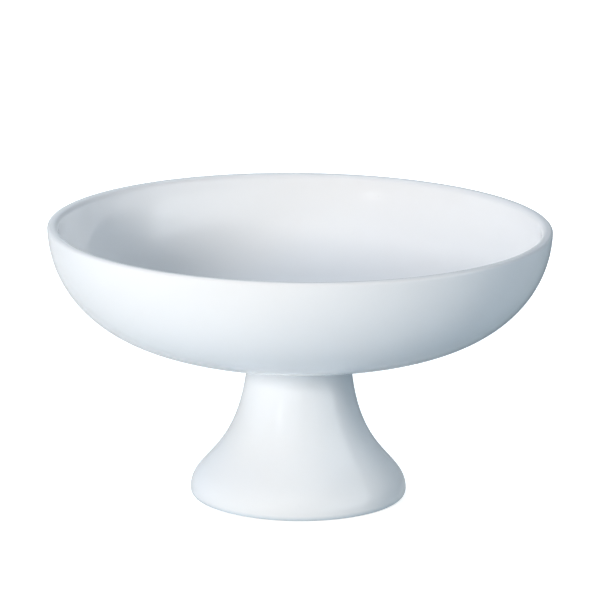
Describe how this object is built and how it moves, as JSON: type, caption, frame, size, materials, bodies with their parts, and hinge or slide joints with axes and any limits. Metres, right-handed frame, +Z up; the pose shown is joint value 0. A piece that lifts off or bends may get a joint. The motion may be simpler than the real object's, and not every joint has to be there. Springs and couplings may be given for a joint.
{
  "type": "footed fruit bowl",
  "caption": "Open round fruit bowl with a rounded lip on a hollow flared pedestal with a rolled foot, in plain white glazed porcelain.",
  "frame": {"origin": "middle of the standing ring, on the table", "axes": "+Z up along the axis that the bowl and the pedestal are turned about; X and Y are alike"},
  "size_m": [0.25, 0.25, 0.1375],
  "materials": {
    "glazed_porcelain": "clear gloss glaze over cool white porcelain",
    "glazed_slip": "gloss glaze pooled over a fired slip fillet"
  },
  "bodies": {
    "root": {"bowl": "glazed_porcelain", "pedestal": "glazed_porcelain", "joining_slip": "glazed_slip"}
  },
  "joints": []
}
